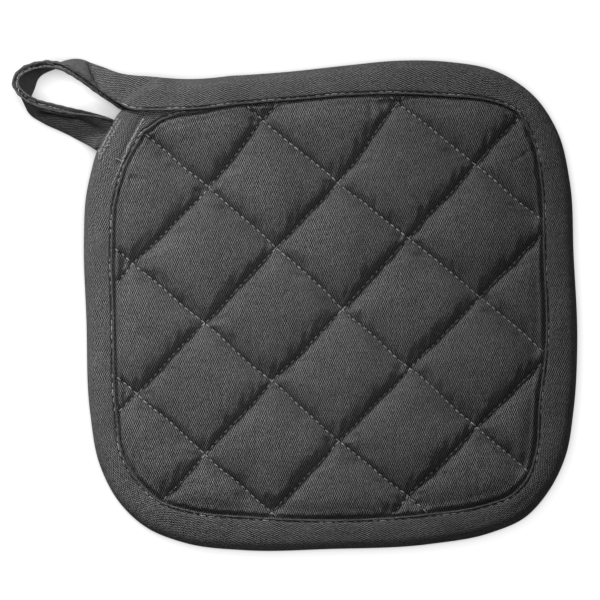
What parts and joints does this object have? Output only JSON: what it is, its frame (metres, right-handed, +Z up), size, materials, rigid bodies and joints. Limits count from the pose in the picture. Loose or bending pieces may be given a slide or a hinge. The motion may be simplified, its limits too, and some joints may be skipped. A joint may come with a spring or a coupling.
{
  "type": "pot holder",
  "caption": "Square quilted cloth pot holder with round corners, a bound edge and a hanging loop at one corner, lying flat on its back.",
  "frame": {"origin": "under the middle of the whole piece, loop included, on the surface it lies on", "axes": "+X to the right and +Y to the top as the front is seen, +Z up out of the front"},
  "size_m": [0.229, 0.2001, 0.0154],
  "materials": {
    "quilting": "matt cotton twill, charcoal",
    "binding": "matt cotton twill, charcoal",
    "loop": "matt cotton twill, charcoal",
    "thread": "grey sewing thread"
  },
  "bodies": {
    "root": {"quilted_pad": "quilting", "binding": "binding", "hanging_loop": "loop"}
  },
  "joints": []
}
